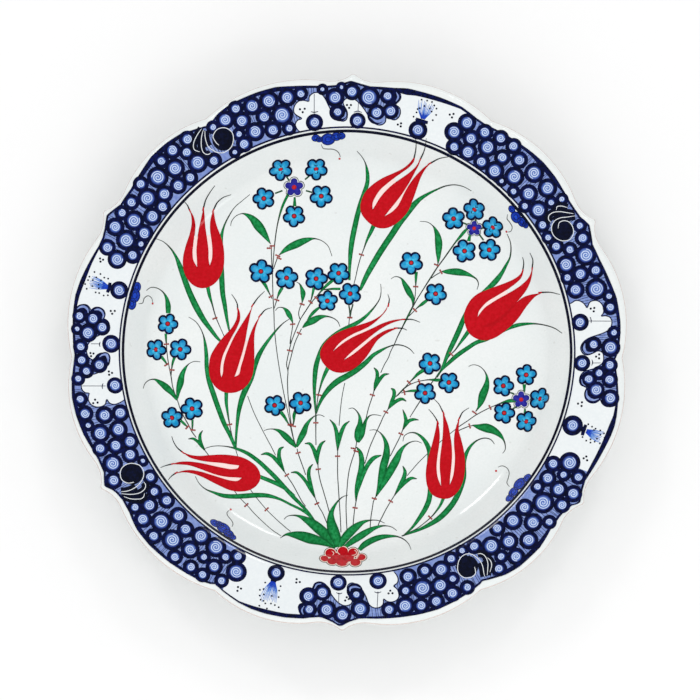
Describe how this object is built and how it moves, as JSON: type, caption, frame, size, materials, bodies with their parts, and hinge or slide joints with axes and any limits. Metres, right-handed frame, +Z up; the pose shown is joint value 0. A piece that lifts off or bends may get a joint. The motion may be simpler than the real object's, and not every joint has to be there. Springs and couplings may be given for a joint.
{
  "type": "hand painted ceramic plate",
  "caption": "Round footed ceramic plate with a scalloped, pointed rim, a deep flat well and an underglaze painting of tulips, blossoms and a wave-and-rock border.",
  "frame": {"origin": "centre of the foot ring's resting face", "axes": "+Z up out of the well, +Y towards the top of the painted picture, +X to its right"},
  "size_m": [0.2972, 0.2992, 0.0352],
  "materials": {
    "clay": "matte",
    "bare_foot": "matte",
    "painted_glaze": "gloss",
    "plain_glaze": "gloss"
  },
  "bodies": {
    "root": {"fired_body": "clay", "foot_ring": "bare_foot", "front_glaze": "painted_glaze", "back_glaze": "plain_glaze", "foot_well_glaze": "plain_glaze"}
  },
  "joints": []
}
